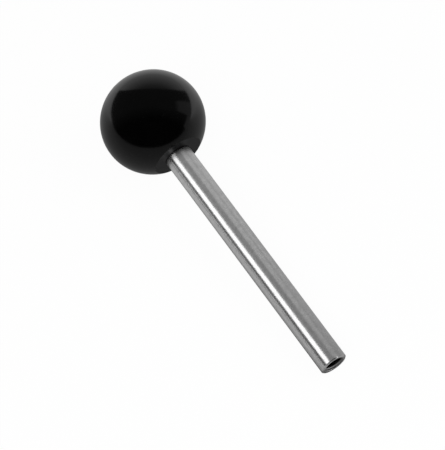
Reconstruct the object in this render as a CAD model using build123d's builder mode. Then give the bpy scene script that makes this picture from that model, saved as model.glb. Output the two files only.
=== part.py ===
"""A hand lever: a black moulded ball knob on a straight round shank.

The shank lies along Y. Its tapped end, which a machine's screw holds, has its face at the origin, and the
ball is at the far end, towards +Y. The ball is moulded round a knurled brass insert. A headless stud, driven
into the shank with a hex key, joins the shank to that insert, so the knob can be screwed off.
"""

from build123d import *
import math
import os

os.makedirs("parts", exist_ok=True)

# Ball knob
ball_diameter = 47.6        # across the ball, square to the shank
ball_crown = 23.4           # from the ball's middle to its crown, a little less than half its diameter
face_diameter = 24.0        # the moulded flat that the shank's end seats on
face_edge_radius = 0.5      # rounding where that flat meets the ball

# Shank
shank_diameter = 12.7
shank_length = 120.65       # from the tapped end to the ball's flat
shank_chamfer = 0.4         # at both ends

# Threads, 16 turns to the inch. The stud's is cut in full; the bores that it fits are left plain.
thread_diameter = 9.53      # over the stud's crests
thread_pitch = 25.4 / 16
thread_depth = 0.97         # crest to root
crest_width = 0.2
tap_drill_diameter = 7.94   # the hole in the tapped end, as drilled for a screw of the same thread
countersink_diameter = 9.6
countersink_angle = 90
drill_point_angle = 118
tapped_depth = 22.0         # full width of the hole in the tapped end
thread_clearance = 0.08     # all round the stud, where it lies in its two bores

# Joining stud
stud_in_shank = 17.5
stud_in_knob = 14.25
stud_end_clearance = 1.2    # beyond each end of the stud
stud_chamfer = 0.9
hex_key_size = 4.76         # across the flats of its socket
hex_socket_depth = 4.8

# Knurled insert
insert_diameter = 11.9
insert_floor = 2.2          # metal left under its blind bore
knurl_depth = 0.3
knurl_count = 30
groove_width = 2.4          # the plain groove that keys it in the moulding, half way along
groove_depth = 0.5

# Worked out from the sizes above
ball_radius = ball_diameter / 2
shank_radius = shank_diameter / 2
thread_radius = thread_diameter / 2
stud_bore_radius = thread_radius + thread_clearance
tap_drill_radius = tap_drill_diameter / 2
insert_radius = insert_diameter / 2
# the flat cuts the ball's elliptical outline where that is as wide as the flat
face_rim_angle = math.degrees(math.acos(face_diameter / ball_diameter))
face_offset = ball_crown * math.sin(math.radians(face_rim_angle))
ball_middle = shank_length + face_offset
thread_root_radius = thread_radius - thread_depth
ridge_sink = 0.04           # how far the ridge's foot is sunk in the core
ridge_sink_width = thread_pitch - crest_width + ridge_sink * (thread_pitch - 2 * crest_width) / thread_depth
trim_margin = 0.5           # how far the blank that trims the thread stands out past its crests
stud_foot = shank_length - stud_in_shank
stud_length = stud_in_shank + stud_in_knob
insert_bore_depth = stud_in_knob + stud_end_clearance
insert_length = insert_bore_depth + insert_floor
knurl_length = (insert_length - groove_width) / 2
knurl_side = knurl_depth * math.sqrt(2)
shank_bore_depth = stud_in_shank + stud_end_clearance
drill_point_height = tap_drill_radius / math.tan(math.radians(drill_point_angle / 2))


def square_plane(y):
    """The plane square to the shank at y, facing +Y."""
    return Plane((0, y, 0), z_dir=(0, 1, 0))


# The shank: ground bar, chamfered at both ends, tapped at the free end and bored for the stud at the other
with BuildPart() as shank_rod:
    with BuildSketch(square_plane(0)):
        Circle(shank_radius)
    extrude(amount=shank_length)
    chamfer(shank_rod.edges().filter_by(GeomType.CIRCLE), shank_chamfer)
    with Locations(Plane.XZ):
        CounterSinkHole(tap_drill_radius, countersink_diameter / 2, tapped_depth, countersink_angle)
    with Locations(square_plane(tapped_depth)):
        Cone(
            tap_drill_radius,
            0,
            drill_point_height,
            align=(Align.CENTER, Align.CENTER, Align.MIN),
            mode=Mode.SUBTRACT,
        )
    with Locations(square_plane(shank_length)):
        Hole(stud_bore_radius, shank_bore_depth)

# The stud: a headless screw, chamfered at both ends, with its hex socket in the end that faces the knob.
# Its core and the helical ridge run on past both ends, and a chamfered blank trims them.
with BuildPart() as stud_blank:
    with BuildSketch(square_plane(stud_foot)):
        Circle(thread_radius + trim_margin)
    extrude(amount=stud_length)
    chamfer(stud_blank.edges().filter_by(GeomType.CIRCLE), stud_chamfer + trim_margin)
with BuildPart() as joining_stud:
    with BuildLine() as ridge_path:
        Helix(
            thread_pitch,
            stud_length + 2 * thread_pitch,
            thread_root_radius,
            center=(0, stud_foot - thread_pitch, 0),
            direction=(0, 1, 0),
        )
    ridge_start = ridge_path.line @ 0
    outwards = (ridge_start.X, 0, ridge_start.Z)
    with BuildSketch(Plane(ridge_start, x_dir=outwards, z_dir=ridge_path.line % 0)):
        Polygon(
            (-ridge_sink, -ridge_sink_width / 2),
            (-ridge_sink, ridge_sink_width / 2),
            (thread_depth, crest_width / 2),
            (thread_depth, -crest_width / 2),
            align=None,
        )
    sweep(path=ridge_path.line, is_frenet=True)
    with BuildSketch(square_plane(stud_foot - 2 * thread_pitch)):
        Circle(thread_root_radius)
    extrude(amount=stud_length + 4 * thread_pitch)
    add(stud_blank.part, mode=Mode.INTERSECT)
    with BuildSketch(square_plane(stud_foot + stud_length)):
        RegularPolygon(hex_key_size / 2, 6, major_radius=False)
    extrude(amount=-hex_socket_depth, mode=Mode.SUBTRACT)

# The insert's outside: a plain core, with a band of straight knurling at each end of it
with BuildPart() as insert_outside:
    with BuildSketch(square_plane(shank_length)):
        Circle(insert_radius - groove_depth)
    extrude(amount=insert_length)
    for band_foot in (shank_length, shank_length + knurl_length + groove_width):
        with BuildSketch(square_plane(band_foot)):
            Circle(insert_radius)
            with PolarLocations(insert_radius, knurl_count):
                Rectangle(knurl_side, knurl_side, rotation=45, mode=Mode.SUBTRACT)
        extrude(amount=knurl_length)

# The ball: half an ellipse, cut off at the flat and turned round the shank's axis, moulded round the insert
with BuildPart() as ball_knob:
    with BuildSketch(Plane.XY) as ball_section:
        with BuildLine():
            outline = EllipticalCenterArc(
                (0, ball_middle),
                ball_radius,
                ball_crown,
                90,
                arc_size=-90 - face_rim_angle,
            )
            Polyline(outline @ 1, (0, shank_length), outline @ 0)
        make_face()
        fillet(ball_section.vertices().group_by(Axis.Y)[0].sort_by(Axis.X)[-1], face_edge_radius)
    revolve(axis=Axis.Y)
    add(insert_outside.part, mode=Mode.SUBTRACT)

# The insert: brass, with the blind bore that the stud screws into
with BuildPart() as knob_insert:
    add(insert_outside.part)
    with Locations(-square_plane(shank_length)):
        Hole(stud_bore_radius, insert_bore_depth)

shank_rod.part.label = "shank_rod"
joining_stud.part.label = "joining_stud"
ball_knob.part.label = "ball_knob"
knob_insert.part.label = "knob_insert"
export_step(shank_rod.part, "parts/shank_rod.step")
export_step(joining_stud.part, "parts/joining_stud.step")
export_step(ball_knob.part, "parts/ball_knob.step")
export_step(knob_insert.part, "parts/knob_insert.step")
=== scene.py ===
# %% [markdown]
# # A hand lever with a black ball knob
# The object is a plain machine handle: a round steel bar with a tapped hole in one end, and a
# black plastic ball screwed on the other. A brass bush is moulded into the ball, and a headless
# steel screw joins it to the bar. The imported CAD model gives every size, so it is loaded first.

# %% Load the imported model
import math

import bmesh
import bpy
from mathutils import Matrix, Vector


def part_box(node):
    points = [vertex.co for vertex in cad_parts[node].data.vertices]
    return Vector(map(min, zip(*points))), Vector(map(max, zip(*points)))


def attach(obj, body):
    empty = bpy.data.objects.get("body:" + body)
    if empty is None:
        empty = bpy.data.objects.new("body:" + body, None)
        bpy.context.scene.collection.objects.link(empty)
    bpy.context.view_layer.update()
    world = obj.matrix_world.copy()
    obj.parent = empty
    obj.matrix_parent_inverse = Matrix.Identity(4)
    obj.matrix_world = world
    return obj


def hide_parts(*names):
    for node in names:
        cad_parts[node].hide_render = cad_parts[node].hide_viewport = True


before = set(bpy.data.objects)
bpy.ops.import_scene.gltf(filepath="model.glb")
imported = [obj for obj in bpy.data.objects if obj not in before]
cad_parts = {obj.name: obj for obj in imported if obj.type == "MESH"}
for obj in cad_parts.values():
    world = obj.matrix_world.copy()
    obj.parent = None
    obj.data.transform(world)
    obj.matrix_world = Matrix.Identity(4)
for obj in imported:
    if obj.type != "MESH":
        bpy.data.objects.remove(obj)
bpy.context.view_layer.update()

# %% [markdown]
# ## Sizes read from the CAD model
# Lengths in a workshop are in millimetres, and Blender's are in metres, so every outline below
# is written in millimetres and scaled once, when its piece is finished. The bar's axis is the Y
# axis. Reading the boxes of the CAD pieces saves repeating sizes that could then disagree.

# %% A node's size along the bar and across it
def span(node):
    """The lowest and highest y of a CAD piece, and its radius, in millimetres."""
    low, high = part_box(node)
    return low.y * 1000, high.y * 1000, high.x * 1000


bar_start, bar_end, bar_radius = span("shank_rod")
ball_face, ball_top, ball_radius = span("ball_knob")
screw_start, screw_end, screw_radius = span("joining_stud")
bush_start, bush_end, bush_radius = span("knob_insert")
print(f"bar {bar_start:.2f} to {bar_end:.2f}, radius {bar_radius:.2f}")
print(f"ball {ball_face:.2f} to {ball_top:.2f}, radius {ball_radius:.2f}")
print(f"screw {screw_start:.2f} to {screw_end:.2f}, radius {screw_radius:.2f}")
print(f"bush {bush_start:.2f} to {bush_end:.2f}, radius {bush_radius:.2f}")

# %% [markdown]
# ## Camera
# A long thin thing is best seen from well above and from far away, so that its two ends keep
# nearly the same scale. A long lens does that. The camera here looks down at 65 degrees, with the
# free end of the bar towards it.

# %% Directions round the camera
def looking_from(azimuth, elevation):
    """The direction from the object to a camera there: azimuth 0 is on the -Y side."""
    turn, rise = math.radians(azimuth), math.radians(elevation)
    return Vector((math.sin(turn) * math.cos(rise), -math.cos(turn) * math.cos(rise), math.sin(rise)))


camera_azimuth = -34.1
camera_elevation = 65.19
towards_camera = looking_from(camera_azimuth, camera_elevation)
camera_right = Vector((0, 0, 1)).cross(towards_camera).normalized()
camera_up = towards_camera.cross(camera_right)
print("camera looks along", tuple(round(x, 3) for x in -towards_camera))

# %% The camera
camera = bpy.data.objects.new("camera", bpy.data.cameras.new("camera"))
bpy.context.scene.collection.objects.link(camera)
camera.data.lens = 216
camera.data.sensor_width = 36
camera.data.clip_start, camera.data.clip_end = 0.01, 50
camera_distance = 1.1823
middle = Vector((0, 0.07, 0))
# The aim is a little up and left of the bar's middle, which centres the lever with its ball.
aim = middle - 0.00862 * camera_right + 0.00720 * camera_up
camera.matrix_world = (
    Matrix.Translation(aim + camera_distance * towards_camera)
    @ Matrix((camera_right, camera_up, towards_camera)).transposed().to_4x4()
)
bpy.context.scene.camera = camera
bpy.context.scene.view_settings.view_transform = "Standard"
print("camera stands", round(camera_distance, 3), "m away")

# %% [markdown]
# ## One function for colours and one for nodes
# Paint charts and screens give colours as sRGB hex values, but the renderer adds up light, which
# needs linear numbers. One function turns the one into the other. A second one adds a node and
# fills in its settings and inputs, which keeps each material short enough to read as a recipe.

# %% Colour and node helpers
def linear(hex_colour):
    """An sRGB hex colour as the linear red, green, blue and alpha that a shader wants."""
    channels = [int(hex_colour[i:i + 2], 16) / 255 for i in (1, 3, 5)]
    return [c / 12.92 if c <= 0.04045 else ((c + 0.055) / 1.055) ** 2.4 for c in channels] + [1]


def add_node(tree, kind, settings=None, inputs=None):
    """Adds a node: settings are its options, and inputs are values or other nodes' outputs."""
    node = tree.nodes.new(kind)
    for option, value in (settings or {}).items():
        setattr(node, option, value)
    for socket, value in (inputs or {}).items():
        if isinstance(value, bpy.types.NodeSocket):
            tree.links.new(value, node.inputs[socket])
        else:
            node.inputs[socket].default_value = value
    return node


def new_material(name):
    """An empty node material, with its node tree and its output node."""
    material = bpy.data.materials.new(name)
    material.use_nodes = True
    material.node_tree.nodes.clear()
    return material, material.node_tree, add_node(material.node_tree, "ShaderNodeOutputMaterial")


print("mid grey is", [round(c, 3) for c in linear("#808080")])

# %% [markdown]
# ## Floor and background
# The lever lies on white paper, so the ball's underside and the lower rim of the bar both touch
# it: the bar rises a little towards the ball. The object stays level here, and the paper leans
# instead, from the free end backwards. In front of the free end it stays level, so that it hides
# nothing from a low camera. To the camera, and in reflections, the paper and the world are plain
# white, and a small share of the paper's own shading is kept, so that the lever still drops a soft
# shadow.

# %% White for the camera, and a soft shadow
def background_share(tree, share):
    """A mix factor for rays that see the background: from the camera, in gloss and through glass."""
    path = add_node(tree, "ShaderNodeLightPath")
    seen = add_node(
        tree, "ShaderNodeMath", {"operation": "ADD", "use_clamp": True},
        {0: path.outputs["Is Camera Ray"], 1: path.outputs["Is Glossy Ray"]},
    )
    seen = add_node(
        tree, "ShaderNodeMath", {"operation": "ADD", "use_clamp": True},
        {0: seen.outputs[0], 1: path.outputs["Is Transmission Ray"]},
    )
    return add_node(
        tree, "ShaderNodeMath", {"operation": "MULTIPLY"}, {0: seen.outputs[0], 1: share}
    ).outputs[0]


white_share_of_paper = 0.96
paper, tree, output = new_material("white_paper")
sheet_shade = add_node(tree, "ShaderNodeBsdfDiffuse", None, {"Color": linear("#f4f4f2")})
white_light = add_node(tree, "ShaderNodeEmission", None, {"Color": (1, 1, 1, 1), "Strength": 1})
paper_mix = add_node(
    tree, "ShaderNodeMixShader", None,
    {0: background_share(tree, white_share_of_paper), 1: sheet_shade.outputs[0],
     2: white_light.outputs[0]},
)
tree.links.new(paper_mix.outputs[0], output.inputs["Surface"])
print("paper material has", len(tree.nodes), "nodes")

# %% A helper for what belongs to the studio
def stage_object(name, bm, material):
    """Puts a mesh of the studio in the scene: it isn't part of the lever."""
    mesh = bpy.data.meshes.new(name)
    bm.to_mesh(mesh)
    bm.free()
    mesh.materials.append(material)
    thing = bpy.data.objects.new(name, mesh)
    bpy.context.scene.collection.objects.link(thing)
    return thing


# %% The sheet of paper, leaning so that both ends of the lever touch it
ball_crown = 23.4
ball_middle = ball_top - ball_crown
reach = ball_middle - bar_start
lean = math.asin((ball_radius - bar_radius) / reach)
paper_height = -bar_radius - 0.15
paper_half = 0.5
fold_y = -0.002
bm = bmesh.new()
bmesh.ops.create_grid(bm, x_segments=1, y_segments=2, size=paper_half)
far_edge = [vertex for vertex in bm.verts if vertex.co.y > paper_half / 2]
bmesh.ops.translate(bm, verts=far_edge, vec=(0, 0, -paper_half * math.tan(lean)))
bmesh.ops.translate(bm, verts=bm.verts, vec=(0, fold_y, paper_height / 1000))
stage_object("paper_floor", bm, paper)
print(f"the paper leans {math.degrees(lean):.2f} degrees")

# %% The white room round it
room_level = 0.45
world = bpy.data.worlds.new("studio")
bpy.context.scene.world = world
world.use_nodes = True
tree = world.node_tree
tree.nodes.clear()
room_fill = add_node(
    tree, "ShaderNodeBackground", None, {"Color": linear("#e6e8ea"), "Strength": room_level},
)
room_white = add_node(tree, "ShaderNodeBackground", None, {"Color": (1, 1, 1, 1), "Strength": 1})
room = add_node(
    tree, "ShaderNodeMixShader", None,
    {0: background_share(tree, 1.0), 1: room_fill.outputs[0], 2: room_white.outputs[0]},
)
tree.links.new(room.outputs[0], add_node(tree, "ShaderNodeOutputWorld").inputs["Surface"])
print("room fill", room_level)

# %% [markdown]
# ## Cards round the lever
# A polished black ball is a mirror of the room. In a studio, grey and black cards stand round such
# a thing, out of the picture, and what they show in the ball is what gives it its shape: a dark
# tent above, a grey table below, a paler round screen behind, and two smaller cards on the right.
# These cards are seen only in gloss, and they neither light the lever nor shade it. A card could
# be one even grey, but paper under a lamp never is, so each one is graded.

# %% A card that only reflections see
def card(name, bm, material):
    """A studio card that shows in gloss alone."""
    thing = stage_object(name, bm, material)
    thing.visible_camera = False
    thing.visible_diffuse = False
    thing.visible_transmission = False
    thing.visible_volume_scatter = False
    thing.visible_shadow = False
    return thing


def flat_sheet(half_width, half_length):
    """A flat rectangle in the XY plane."""
    bm = bmesh.new()
    bmesh.ops.create_grid(bm, x_segments=1, y_segments=1, size=1)
    bmesh.ops.scale(bm, verts=bm.verts, vec=(half_width, half_length, 1))
    return bm


print("cards show in gloss alone")

# %% Card that changes its grey along a direction
def graded_card_paper(name, direction, steps):
    """Card whose brightness follows steps of (metres along the direction, brightness)."""
    material, tree, output = new_material(name)
    place = add_node(tree, "ShaderNodeTexCoord")
    along = add_node(
        tree, "ShaderNodeVectorMath", {"operation": "DOT_PRODUCT"},
        {0: place.outputs["Object"], 1: direction},
    )
    first, last = steps[0][0], steps[-1][0]
    share = add_node(
        tree, "ShaderNodeMapRange", None,
        {"Value": along.outputs["Value"], "From Min": first, "From Max": last},
    )
    ramp = add_node(tree, "ShaderNodeValToRGB", None, {0: share.outputs[0]})
    for number, (metres, brightness) in enumerate(steps):
        position = (metres - first) / (last - first)
        stops = ramp.color_ramp.elements
        stop = stops[0] if number == 0 else stops.new(position) if position < 1 else stops[-1]
        stop.color = (brightness, brightness, brightness, 1)
    glow = add_node(tree, "ShaderNodeEmission", None, {"Color": ramp.outputs[0], "Strength": 1})
    tree.links.new(glow.outputs[0], output.inputs["Surface"])
    material.cycles.emission_sampling = "NONE"
    return material


behind = -looking_from(camera_azimuth, 0)
foot = ball_middle / 1000 * behind.y
print("the table is graded along", tuple(round(x, 2) for x in behind), "from", round(foot, 3), "m")

# %% A black tent overhead, a hint paler behind
tent_radius = 1.6
bm = bmesh.new()
bmesh.ops.create_icosphere(bm, subdivisions=4, radius=tent_radius)
tent_cloth = graded_card_paper(
    "black_cloth", behind, [(-tent_radius, 0.0), (-0.4, 0.0), (0.3, 0.04), (tent_radius, 0.04)],
)
tent = card("black_tent", bm, tent_cloth)
print("tent is", round(max(v.co.z for v in tent.data.vertices), 2), "m high")

# %% The grey table: darkest towards the camera, pale behind the ball
table_y = 0.08
card_above_paper = 0.05
table_height = (paper_height + card_above_paper) / 1000 - table_y * math.tan(lean)
bm = flat_sheet(0.7, 0.7)
bmesh.ops.rotate(bm, verts=bm.verts, cent=(0, 0, 0), matrix=Matrix.Rotation(-lean, 3, "X"))
bmesh.ops.translate(bm, verts=bm.verts, vec=(0, table_y, table_height))
table_paper = graded_card_paper(
    "grey_card", behind,
    [(foot - 0.30, 0.13), (foot - 0.09, 0.15), (foot - 0.02, 0.21), (foot + 0.02, 0.30),
     (foot + 0.06, 0.52), (foot + 0.15, 0.56), (foot + 0.50, 0.42)],
)
card("grey_table_card", bm, table_paper)
print("table card lies at", round(table_height * 1000, 2), "mm")

# %% A card that stands beside the ball
def upright_card(name, bm, azimuth, distance, material):
    """Stands a flat mesh up beside the ball: azimuth 0 is in front of the free end."""
    stand_up = Matrix.Rotation(math.radians(90), 3, "X")
    go_round = Matrix.Rotation(math.radians(azimuth), 3, "Z")
    bmesh.ops.rotate(bm, verts=bm.verts, cent=(0, 0, 0), matrix=stand_up)
    bmesh.ops.translate(bm, verts=bm.verts, vec=(0, -distance, 0))
    bmesh.ops.rotate(bm, verts=bm.verts, cent=(0, 0, 0), matrix=go_round)
    bmesh.ops.translate(bm, verts=bm.verts, vec=(0, ball_middle / 1000, 0))
    return card(name, bm, material)


upwards = Vector((0, 0, 1))
print("upright cards are graded along", tuple(upwards))

# %% The round screen behind, paler towards its foot
screen_distance = 0.8
screen_half_angle = math.radians(41)
screen_paper = graded_card_paper(
    "graded_screen", upwards, [(0.0, 0.42), (0.27, 0.29), (0.48, 0.16), (0.70, 0.09)],
)
bm = bmesh.new()
bmesh.ops.create_circle(
    bm, cap_ends=True, segments=96, radius=screen_distance * math.tan(screen_half_angle),
)
round_screen = upright_card("round_screen", bm, camera_azimuth + 180, screen_distance, screen_paper)
print("screen top at", round(max(v.co.z for v in round_screen.data.vertices), 3), "m")

# %% Two smaller cards on the right: a tall dark one and a low pale one
small_card_distance = 0.7
for name, azimuth, half_width, half_height, steps in (
    ("patch_card", 73, 0.15, 0.60, [(0.0, 0.15), (0.42, 0.15), (0.60, 0.04)]),
    ("low_card", 50, 0.1344, 0.16, [(0.0, 0.32), (0.04, 0.18), (0.12, 0.16), (0.16, 0.03)]),
):
    small_paper = graded_card_paper(name, upwards, steps)
    upright_card(name, flat_sheet(half_width, half_height), azimuth, small_card_distance, small_paper)
    print(name, "is", round(2 * half_width, 2), "m wide")

# %% [markdown]
# ## Lamps
# Two large soft lamps, one on each side and well above, light the paper and the lever evenly. They
# stay out of reflections, where their square shapes would show in the ball.

# %% Area lamps
# A lamp that is linked to this collection lights nothing else.
steel_only = bpy.data.collections.new("lit_by_the_steel_lamps")


def area_lamp(name, position, look_at, width, length, watts, along=None, only_steel=False):
    """A rectangular soft lamp that faces a point. Along is the direction of its long side."""
    lamp = bpy.data.objects.new(name, bpy.data.lights.new(name, "AREA"))
    bpy.context.scene.collection.objects.link(lamp)
    lamp.data.shape = "RECTANGLE"
    lamp.data.size, lamp.data.size_y = width, length
    lamp.data.energy = watts
    back = (Vector(position) - Vector(look_at)).normalized()
    side = (Vector(along or (0, 1, 0)).cross(back)).normalized()
    turn = Matrix((side, back.cross(side), back)).transposed().to_4x4()
    lamp.matrix_world = Matrix.Translation(position) @ turn
    lamp.visible_camera = False
    if only_steel:
        lamp.light_linking.receiver_collection = steel_only
    return lamp


def watts_for(luminance, width, length):
    """The power that gives a lamp of this size that brightness, with white as 1."""
    return luminance * width * length * math.pi


print("a white square metre takes", round(watts_for(1, 1, 1), 2), "W")

# %% The key and the fill
softbox_distance = 1.4
softbox = 0.9
for name, direction, luminance in (
    ("key_lamp", looking_from(-60, 60), 4.0),
    ("fill_lamp", looking_from(60, 50), 2.2),
):
    lamp = area_lamp(
        name, middle + softbox_distance * direction, middle, softbox, softbox,
        watts_for(luminance, softbox, softbox),
    )
    lamp.visible_glossy = False
print("key and fill stand", softbox_distance, "m away")

# %% [markdown]
# ## Panels for the steel
# Bare steel has hardly any colour of its own and shows only what it mirrors. So the bar gets a ring
# of long panels of its own, each one as bright as a band of the bar should look: a narrow strip
# draws the bright line down its length, a dark panel draws the thin line beside it, and dimmer
# panels fill the rest. Light linking keeps them off the ball, as a black flag would in a studio.

# %% Long panels round the bar
def steel_panel(name, first_angle, last_angle, luminance, length=1.4, shift=0.0, roll=0.0):
    """A long panel beside the bar, between two angles round it: 0 is its +X side and 90 overhead.

    The roll, in degrees, turns the panel in its own plane, so that its reflection runs straight
    along the bar although the camera is near.
    """
    distance = 0.6
    # For each metre out from the bar, what the camera sees in it lies 0.37 m further to the back.
    further_back = 0.37 * distance + shift
    angle = math.radians((first_angle + last_angle) / 2)
    width = 2 * distance * math.tan(math.radians(last_angle - first_angle) / 2)
    out = Vector((math.cos(angle), 0, math.sin(angle)))
    position = middle + distance * out + Vector((0, further_back, 0))
    up = Vector((-math.sin(angle), 0, math.cos(angle)))
    along = Vector((0, 1, 0)) + math.tan(math.radians(roll)) * up
    return area_lamp(
        name, position, position - out, width, length, watts_for(luminance, width, length),
        along=along.normalized(), only_steel=True,
    )


steel_panel("steel_strip_lamp", 123.0, 153.4, 2.4, roll=12)
steel_panel("steel_ceiling_lamp", 74.5, 124.6, 0.45, length=0.8, shift=0.17)
steel_panel("steel_side_lamp", 38, 74.5, 0.77, length=0.8, shift=0.22)
steel_panel("steel_lower_side_lamp", -8, 38, 0.57, length=0.8, shift=0.25)
steel_panel("steel_dark_side_lamp", 153.4, 177.5, 0.12, roll=12)
steel_panel("steel_far_side_lamp", 177, 187, 1.05)
print("panels reach from -8 to 187 degrees round the bar")

# %% [markdown]
# The bar mirrors the table as well, below the panels. These lamps lie flat on the paper and face up.
# On the left the paper is darker near the bar, which shades it, and nearest of all it stays dark.

# %% Lamps that lie on the table
lamp_above_paper = 0.2


def steel_table(name, left, right, near, far, luminance):
    """A lamp in the plane of the leaning paper that faces up, between two x and two y, in metres."""
    place = Vector(((left + right) / 2, (near + far) / 2, 0))
    place.z = (paper_height + lamp_above_paper) / 1000 - place.y * math.tan(lean)
    up = Vector((0, math.sin(lean), math.cos(lean)))
    width, length = right - left, far - near
    return area_lamp(
        name, place, place + up, width, length, watts_for(luminance, width, length), only_steel=True,
    )


steel_table("steel_left_table_lamp", -0.17, -0.02, 0.0, 0.26, 0.53)
steel_table("steel_near_left_table_lamp", -0.02, -0.010, 0.0, 0.26, 0.32)
steel_table("steel_right_table_lamp", 0.0, 0.17, 0.0, 0.26, 0.34)
steel_table("steel_front_table_lamp", -0.07, 0.13, -0.122, -0.002, 0.42)
print("table lamps lie", lamp_above_paper, "mm above the leaning paper")

# %% Two small lamps for the free end: a glint on its chamfer, and a little light in the hole
def end_lamp(name, direction, width, length, luminance):
    """A small lamp in front of the free end, seen by the steel alone."""
    distance = 0.4
    return area_lamp(
        name, distance * direction, Vector((0, 0, 0)), width, length,
        watts_for(luminance, width, length), only_steel=True,
    )


end_lamp("steel_glint_lamp", looking_from(34, 12), 0.10, 0.09, 3.2)
end_lamp("steel_mouth_lamp", looking_from(0, 22), 0.20, 0.10, 0.10)

# %% [markdown]
# ## Turned pieces
# The bar comes off a lathe and the ball out of a round mould, so each one is an outline swept once
# round the Y axis. The outline is half of what a saw cut through the middle would show. It could
# be a Screw modifier on a curve, but a bmesh spin does the same in one step and leaves plain
# geometry, ready for a bevel. The bush and the screw keep the CAD model's shapes, which have their
# knurl and thread, and only get a finish.

# %% Draw an outline and spin it
sides_of_a_round = 144
pole_gap = 0.002


def spin_outline(bm):
    """Sweeps a mesh once round the Y axis, closes its seam and poles, and turns it outwards."""
    bmesh.ops.spin(
        bm, geom=bm.verts[:] + bm.edges[:], cent=(0, 0, 0), axis=(0, 1, 0),
        angle=2 * math.pi, steps=sides_of_a_round, use_merge=True,
    )
    bmesh.ops.remove_doubles(bm, verts=bm.verts, dist=pole_gap)
    bmesh.ops.recalc_face_normals(bm, faces=bm.faces)
    return bm


def draw_outline(bm, points, start=None):
    """Adds points (radius, y) one after another, joined by edges."""
    last = start
    for radius, y in points:
        vertex = bm.verts.new((radius, y, 0))
        if last is not None:
            bm.edges.new((last, vertex))
        last = vertex


print("a round piece has", sides_of_a_round, "sides")

# %% Round a rim
def round_rim(bm, radius, y, size, segments):
    """Bevels the circular rim at that radius and height."""
    near = 0.02

    def on_rim(vertex):
        away = math.hypot(vertex.co.x, vertex.co.z) - radius
        return abs(away) < near and abs(vertex.co.y - y) < near

    rim = [edge for edge in bm.edges if all(on_rim(vertex) for vertex in edge.verts)]
    bmesh.ops.bevel(
        bm, geom=rim, offset=size, affect="EDGES", segments=segments, profile=0.5, material=-1,
    )
    return len(rim)


print("rims are found by radius and height")

# %% [markdown]
# Each finished mesh gets smooth shading with sharp creases, and normals that are weighted by the
# faces' areas, so that a flat face beside a small rounding doesn't look swollen. The modifier that
# works them out is applied at once.

# %% Finish a piece
crease = math.radians(30)


def finished_piece(name, bm, material, body, replaced):
    """Scales a mesh from millimetres to metres and makes it a piece that rides on its body."""
    bmesh.ops.scale(bm, verts=bm.verts, vec=(0.001, 0.001, 0.001))
    mesh = bpy.data.meshes.new(name)
    bm.to_mesh(mesh)
    bm.free()
    mesh.materials.append(material)
    mesh.shade_smooth()
    mesh.set_sharp_from_angle(angle=crease)
    piece = bpy.data.objects.new(name, mesh)
    bpy.context.scene.collection.objects.link(piece)
    even = piece.modifiers.new("flat faces stay flat", "WEIGHTED_NORMAL")
    even.keep_sharp = True
    evaluated = piece.evaluated_get(bpy.context.evaluated_depsgraph_get())
    weighted = bpy.data.meshes.new_from_object(evaluated)
    piece.modifiers.clear()
    piece.data = weighted
    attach(piece, body)
    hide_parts(replaced)
    return piece


print("an edge is sharp past", round(math.degrees(crease)), "degrees")

# %% Give some faces a material of their own
def second_material(piece, material, chosen):
    """Gives the faces that pass a test, of radius and y in millimetres, a material of their own."""
    piece.data.materials.append(material)
    count = 0
    for face in piece.data.polygons:
        middle_point = face.center * 1000
        if chosen(math.hypot(middle_point.x, middle_point.z), middle_point.y):
            face.material_index = 1
            count += 1
    return count


print("pieces so far:", len(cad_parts), "from the CAD model")

# %% [markdown]
# ## Black phenolic
# Ball knobs like this are pressed from phenolic resin, a hard thermoset, in a hot two-part mould,
# and then tumbled and buffed. That gives a deep black with a wet shine, and a surface that isn't
# perfectly flat: a very shallow ripple from the tumbling, and fine dull spots where the buffing
# was lighter. Phenolic resin has an index of refraction of about 1.6.

# %% Patterns by the millimetre
def object_pattern(tree, scale):
    """Object coordinates stretched for a pattern, with scale in repeats for each metre."""
    place = add_node(tree, "ShaderNodeTexCoord")
    return add_node(
        tree, "ShaderNodeMapping", None, {"Vector": place.outputs["Object"], "Scale": scale},
    ).outputs[0]


def per_metre(millimetres):
    """Repeats a metre of a pattern that repeats in that many millimetres."""
    return 1000 / millimetres


# Every bump is at most a hundredth of a millimetre deep, given in metres.
bump_depth = 0.00001
print("a pattern of 3 mm repeats", round(per_metre(3)), "times a metre")

# %% Phenolic material
phenolic, tree, output = new_material("moulded_black_phenolic_buffed")
buffing = add_node(
    tree, "ShaderNodeTexNoise", None,
    {"Vector": object_pattern(tree, (per_metre(9),) * 3), "Scale": 1, "Detail": 3, "Roughness": 0.55},
)
# Buffing leaves the gloss a little uneven over about a centimetre.
gloss = add_node(
    tree, "ShaderNodeMapRange", None,
    {"Value": buffing.outputs[0], "From Min": 0.3, "From Max": 0.7, "To Min": 0.10, "To Max": 0.16},
)
tint = add_node(
    tree, "ShaderNodeMix", {"data_type": "RGBA"},
    {0: buffing.outputs[0], 6: linear("#010101"), 7: linear("#040404")},
)
# The tumbling ripple repeats in about 3 mm and is a few thousandths of a millimetre deep.
ripple = add_node(
    tree, "ShaderNodeTexNoise", None,
    {"Vector": object_pattern(tree, (per_metre(3),) * 3), "Scale": 1, "Detail": 1},
)
ripple_bump = add_node(
    tree, "ShaderNodeBump", None,
    {"Strength": 0.25, "Distance": bump_depth, "Height": ripple.outputs[0]},
)
shader = add_node(
    tree, "ShaderNodeBsdfPrincipled", None,
    {"Base Color": tint.outputs[2], "Roughness": gloss.outputs[0], "IOR": 1.6,
     "Normal": ripple_bump.outputs[0]},
)
tree.links.new(shader.outputs[0], output.inputs["Surface"])
print("phenolic has", len(tree.nodes), "nodes")

# %% [markdown]
# The flat is faced in a lathe after moulding. The tool takes off the glossy skin and leaves fine
# rings, so the flat is duller than the rest. The rings are 0.05 mm apart in life, and 0.3 mm here.

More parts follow.
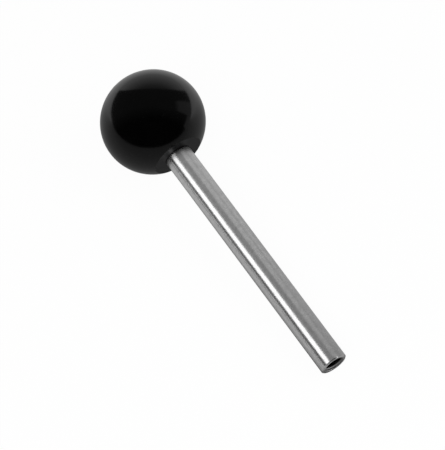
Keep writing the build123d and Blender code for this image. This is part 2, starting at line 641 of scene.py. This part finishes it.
# %% Rings that a lathe leaves
# At a scale of 1, a wave texture repeats in this many units.
wave_width = 2 * math.pi / 20


def lathe_rings(tree, millimetres):
    """Rings round the bar's axis, that many millimetres apart, as heights for a bump."""
    return add_node(
        tree, "ShaderNodeTexWave", {"wave_type": "RINGS", "rings_direction": "Y", "wave_profile": "SIN"},
        {"Vector": object_pattern(tree, (1, 1, 1)), "Scale": wave_width * per_metre(millimetres),
         "Distortion": 0.3},
    ).outputs[1]


print("rings of 0.3 mm need a wave scale of", round(wave_width * per_metre(0.3)))

# %% Faced phenolic material
faced_phenolic, tree, output = new_material("faced_black_phenolic")
ring_bump = add_node(
    tree, "ShaderNodeBump", None,
    {"Strength": 0.2, "Distance": bump_depth, "Height": lathe_rings(tree, 0.3)},
)
shader = add_node(
    tree, "ShaderNodeBsdfPrincipled", None,
    {"Base Color": linear("#0a0a0b"), "Roughness": 0.5, "IOR": 1.6, "Normal": ring_bump.outputs[0]},
)
tree.links.new(shader.outputs[0], output.inputs["Surface"])
print("faced phenolic has", len(tree.nodes), "nodes")

# %% [markdown]
# ## The ball
# The ball isn't quite a sphere: the mould cuts it off flat where the bar meets it, and it is a
# hair shorter than it is wide. One vertex turned about the ball's middle draws the arc of the
# outline, from the rim of the flat up to the crown. The rest of the outline goes in over the flat
# and up the pocket that the brass bush fills, and then the whole is spun round the bar's axis.

# %% The ball's outline
face_radius = ball_radius * math.sqrt(1 - ((ball_middle - ball_face) / ball_crown) ** 2)
rim_angle = math.acos(face_radius / ball_radius)
arc_steps = 56
rim_rounding = 0.25
print(f"crown {ball_crown:.2f}, flat radius {face_radius:.2f}")
print(f"the rim is {math.degrees(rim_angle):.1f} degrees below the widest ring")

# %% Turn the ball
bm = bmesh.new()
rim_point = bm.verts.new(
    (ball_radius * math.cos(rim_angle), ball_middle - ball_radius * math.sin(rim_angle), 0)
)
bmesh.ops.spin(
    bm, geom=[rim_point], cent=(0, ball_middle, 0), axis=(0, 0, 1),
    angle=rim_angle + math.pi / 2, steps=arc_steps,
)
bmesh.ops.scale(
    bm, verts=bm.verts, vec=(1, ball_crown / ball_radius, 1),
    space=Matrix.Translation((0, -ball_middle, 0)),
)
draw_outline(
    bm, [(bush_radius, ball_face), (bush_radius, bush_end), (0, bush_end)], start=rim_point,
)
spin_outline(bm)
rounded = round_rim(bm, face_radius, ball_face, rim_rounding, 4)
ball = finished_piece("ball", bm, phenolic, "knob", "ball_knob")
print("ball:", len(ball.data.polygons), "faces,", rounded, "rim edges rounded")

# %% Face its flat
def on_flat(radius, y):
    """Whether a point of the ball is on the flat."""
    return y < ball_face + 0.05 and radius < face_radius


print("faces on the flat:", second_material(ball, faced_phenolic, on_flat))

# %% [markdown]
# ## Screw threads
# A thread is one groove that winds along a hole. A tap cuts it, so the tap is what gets modelled:
# the groove's section, spun round the axis while it moves along it, makes a spring-like solid,
# and a Boolean takes that out of the bore. Modelling every turn of the groove by hand would be
# slow, and a bump map wouldn't show the saw-toothed edge that the groove gives the hole's mouth.

# %% The tap
thread_pitch = 25.4 / 16
thread_half_angle = math.radians(60 / 2)
thread_tip_width = 0.2
micron = 0.001


def helical_tap(root_radius, crest_radius, start, turns):
    """A spring of thread section from inside the bore out to the thread's full depth."""
    steps = 36
    tip = thread_tip_width / 2
    base = tip + (crest_radius - root_radius) * math.tan(thread_half_angle)
    section = [
        (root_radius, -base), (crest_radius, -tip), (crest_radius, tip), (root_radius, base),
    ]
    bm = bmesh.new()
    bm.faces.new([bm.verts.new((radius, start + y, 0)) for radius, y in section])
    bmesh.ops.spin(
        bm, geom=bm.verts[:] + bm.edges[:] + bm.faces[:], cent=(0, 0, 0), axis=(0, 1, 0),
        dvec=(0, thread_pitch / steps, 0), angle=2 * math.pi * turns, steps=steps * turns,
    )
    bmesh.ops.remove_doubles(bm, verts=bm.verts, dist=micron / 100)
    bmesh.ops.recalc_face_normals(bm, faces=bm.faces)
    mesh = bpy.data.meshes.new("tap")
    bm.to_mesh(mesh)
    bm.free()
    tap = bpy.data.objects.new("tap", mesh)
    bpy.context.scene.collection.objects.link(tap)
    return tap


print("one turn of the thread moves", round(thread_pitch, 3), "mm")

# %% Cut with the tap
def cut_thread(blank, tap):
    """Takes the tap out of a mesh in millimetres, and gives back a new bmesh."""
    mesh = bpy.data.meshes.new("blank")
    blank.to_mesh(mesh)
    blank.free()
    body = bpy.data.objects.new("blank", mesh)
    bpy.context.scene.collection.objects.link(body)
    cut = body.modifiers.new("tap", "BOOLEAN")
    cut.operation, cut.solver, cut.object = "DIFFERENCE", "EXACT", tap
    evaluated = body.evaluated_get(bpy.context.evaluated_depsgraph_get())
    threaded = bmesh.new()
    threaded.from_mesh(evaluated.to_mesh())
    evaluated.to_mesh_clear()
    # Where the tap's edges cross the wall's, the cut leaves pairs of vertices under a micron apart.
    bmesh.ops.remove_doubles(threaded, verts=threaded.verts, dist=micron)
    for scrap in (body, tap):
        bpy.data.objects.remove(scrap)
    return threaded


# %% [markdown]
# ## Ground steel bar
# The bar is bright drawn stainless steel that was ground between wheels while it turned. The
# wheels leave hair-fine lines round the bar. They scatter light along it and hardly across it,
# so a lamp shows as a streak with crisp edges down the whole bar. That is anisotropic gloss, with
# the rough direction along the axis. The lines themselves are a few hundredths of a millimetre
# apart, and are drawn at 0.25 mm, because finer ones wouldn't show.

# %% Ground steel material
ground_steel, tree, output = new_material("centreless_ground_stainless_steel")
lines = add_node(
    tree, "ShaderNodeTexNoise", None,
    {"Vector": object_pattern(tree, (per_metre(12), per_metre(0.25), per_metre(12))),
     "Scale": 1, "Detail": 3, "Roughness": 0.6},
)
clouds = add_node(
    tree, "ShaderNodeTexNoise", None,
    {"Vector": object_pattern(tree, (per_metre(1.2), per_metre(1.8), per_metre(1.2))),
     "Scale": 1, "Detail": 3, "Roughness": 0.6},
)
steel_tint = add_node(
    tree, "ShaderNodeMix", {"data_type": "RGBA"},
    {0: clouds.outputs[0], 6: linear("#a4a4a4"), 7: linear("#cfcfcf")},
)
line_gloss = add_node(
    tree, "ShaderNodeMapRange", None,
    {"Value": lines.outputs[0], "From Min": 0.3, "From Max": 0.7, "To Min": 0.26, "To Max": 0.34},
)
line_bump = add_node(
    tree, "ShaderNodeBump", None,
    {"Strength": 0.15, "Distance": bump_depth, "Height": lines.outputs[0]},
)
round_the_bar = add_node(tree, "ShaderNodeTangent", {"direction_type": "RADIAL", "axis": "Y"})
shader = add_node(
    tree, "ShaderNodeBsdfPrincipled", None,
    {"Base Color": steel_tint.outputs[2], "Metallic": 1, "Roughness": line_gloss.outputs[0],
     "Anisotropic": 0.8, "Anisotropic Rotation": 0.25, "Tangent": round_the_bar.outputs[0],
     "Normal": line_bump.outputs[0]},
)
tree.links.new(shader.outputs[0], output.inputs["Surface"])
print("steel has", len(tree.nodes), "nodes")

# %% [markdown]
# The wall of a tapped hole is painted darker from the countersink inwards, with a random mottle: this
# is painted shade of the hole, which the lamps would otherwise light through its mouth. On the +X
# side the painted shade starts nearer to the mouth than on the other, where it dims a lamp's glint.

# %% Bore material with painted shade
# The dark tint of this material is painted shade of the holes, not a colour of the steel.
bore_painted_shade, tree, output = new_material("tapped_steel_with_painted_shade")
shade_mottle = add_node(
    tree, "ShaderNodeTexNoise", None,
    {"Vector": object_pattern(tree, (per_metre(1.5),) * 3), "Scale": 1, "Detail": 3},
)
# Two dark greys with a random mottle between them: the painted shade inside the hole.
painted_shade_tint = add_node(
    tree, "ShaderNodeMix", {"data_type": "RGBA"},
    {0: shade_mottle.outputs[0], 6: linear("#3b3a38"), 7: linear("#4d4c4a")},
)
place = add_node(tree, "ShaderNodeTexCoord")
along_bar = add_node(tree, "ShaderNodeSeparateXYZ", None, {0: place.outputs["Object"]})
# Depth into the hole, shifted by x: the painted shade starts nearer to the mouth on the +X side, to dim
# a glint of the strip lamp.
shade_depth = add_node(
    tree, "ShaderNodeMath", {"operation": "MULTIPLY_ADD"},
    {0: along_bar.outputs["X"], 1: 0.22, 2: along_bar.outputs["Y"]},
)
painted_shade_share = add_node(
    tree, "ShaderNodeMapRange", None,
    {"Value": shade_depth.outputs[0], "From Min": 0.0006, "From Max": 0.0016},
)
bore_tint = add_node(
    tree, "ShaderNodeMix", {"data_type": "RGBA"},
    {0: painted_shade_share.outputs[0], 6: linear("#b4b4b4"), 7: painted_shade_tint.outputs[2]},
)
shader = add_node(
    tree, "ShaderNodeBsdfPrincipled", None,
    {"Base Color": bore_tint.outputs[2], "Metallic": 1, "Roughness": 0.42},
)
tree.links.new(shader.outputs[0], output.inputs["Surface"])
print("oily bore has", len(tree.nodes), "nodes")

# %% [markdown]
# ## The bar
# Half of a saw cut through the bar gives the outline: a small chamfer at each end, a countersunk
# and tapped hole with the cone of the drill at its bottom in the free end, and the bore for the
# screw in the end under the ball.

# %% The bar's outline
tap_drill_radius = 7.94 / 2
countersink_radius = 9.6 / 2
thread_radius = screw_radius
hole_depth = 22.0
drill_half_angle = math.radians(118 / 2)
drill_tip = hole_depth + tap_drill_radius / math.tan(drill_half_angle)
chamfer = 0.4
room_beyond_screw = 1.2
room_round_screw = 0.08
screw_bore_end = screw_start - room_beyond_screw
screw_bore_radius = thread_radius + room_round_screw
print(f"the tapped hole ends at {drill_tip:.2f}, and the screw's bore at {screw_bore_end:.2f}")

# %% Turn the bar and tap it
bm = bmesh.new()
draw_outline(bm, [
    (0, drill_tip),
    (tap_drill_radius, hole_depth),
    (tap_drill_radius, countersink_radius - tap_drill_radius),
    (countersink_radius, bar_start),
    (bar_radius - chamfer, bar_start),
    (bar_radius, bar_start + chamfer),
    (bar_radius, bar_end - chamfer),
    (bar_radius - chamfer, bar_end),
    (screw_bore_radius, bar_end),
    (screw_bore_radius, screw_bore_end),
    (0, screw_bore_end),
])
spin_outline(bm)
tap_root_radius = 3.9
tap_turns = 13
bm = cut_thread(bm, helical_tap(tap_root_radius, thread_radius, -thread_pitch, tap_turns))
bar = finished_piece("bar", bm, ground_steel, "shank", "shank_rod")
print("bar:", len(bar.data.polygons), "faces")

# %% Paint shade into its holes
def in_a_hole(radius, y):
    """Whether a point of the bar is inside one of its holes."""
    return radius < thread_radius + 0.2 and y > 0.01


# The faces inside the holes get the painted shade.
print("faces inside the holes:", second_material(bar, bore_painted_shade, in_a_hole))

# %% [markdown]
# ## Brass bush
# Plastic alone would strip, so the ball is moulded round a brass bush. Its knurled outside and a
# groove round its middle grip the plastic, and its bore carries the thread. Brass is turned dry
# and comes off the lathe bright, with fine rings on its face, drawn at 0.3 mm as on the flat, and a
# first hint of tarnish.

# %% Turned brass material
brass, tree, output = new_material("turned_brass")
tarnish = add_node(
    tree, "ShaderNodeTexNoise", None,
    {"Vector": object_pattern(tree, (per_metre(1.2),) * 3), "Scale": 1, "Detail": 3},
)
brass_tint = add_node(
    tree, "ShaderNodeMix", {"data_type": "RGBA"},
    {0: tarnish.outputs[0], 6: linear("#c8a24a"), 7: linear("#d8b866")},
)
ring_bump = add_node(
    tree, "ShaderNodeBump", None,
    {"Strength": 0.3, "Distance": bump_depth, "Height": lathe_rings(tree, 0.3)},
)
shader = add_node(
    tree, "ShaderNodeBsdfPrincipled", None,
    {"Base Color": brass_tint.outputs[2], "Metallic": 1, "Roughness": 0.28,
     "Normal": ring_bump.outputs[0]},
)
tree.links.new(shader.outputs[0], output.inputs["Surface"])
brass_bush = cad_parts["knob_insert"]
brass_bush.data.materials.clear()
brass_bush.data.materials.append(brass)
print("brass is on", brass_bush.name)

# %% [markdown]
# ## Black-oxide screw
# A set screw is hardened steel, blackened in a hot salt bath and oiled. The oxide is so thin that
# it follows every scratch, and it looks dark grey with a satin shine, a little browner in places.

# %% Black oxide material
black_oxide, tree, output = new_material("black_oxide_on_steel")
blotches = add_node(
    tree, "ShaderNodeTexNoise", None,
    {"Vector": object_pattern(tree, (per_metre(1.5),) * 3), "Scale": 1, "Detail": 4, "Roughness": 0.6},
)
oxide_tint = add_node(
    tree, "ShaderNodeMix", {"data_type": "RGBA"},
    {0: blotches.outputs[0], 6: linear("#26262a"), 7: linear("#3a3836")},
)
oxide_gloss = add_node(
    tree, "ShaderNodeMapRange", None,
    {"Value": blotches.outputs[0], "From Min": 0.3, "From Max": 0.7, "To Min": 0.32, "To Max": 0.46},
)
shader = add_node(
    tree, "ShaderNodeBsdfPrincipled", None,
    {"Base Color": oxide_tint.outputs[2], "Metallic": 0.9, "Roughness": oxide_gloss.outputs[0]},
)
tree.links.new(shader.outputs[0], output.inputs["Surface"])
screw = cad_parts["joining_stud"]
screw.data.materials.clear()
screw.data.materials.append(black_oxide)
print("black oxide is on", screw.name)

# %% [markdown]
# ## Last links
# The steel lamps light only what is in their collection, and the bar and the screw can go into it
# now that they exist. The brass stays out of it, and keeps to the lamps and cards that the ball
# has.

# %% Which pieces the steel lamps light
for piece in (bar, screw):
    steel_only.objects.link(piece)
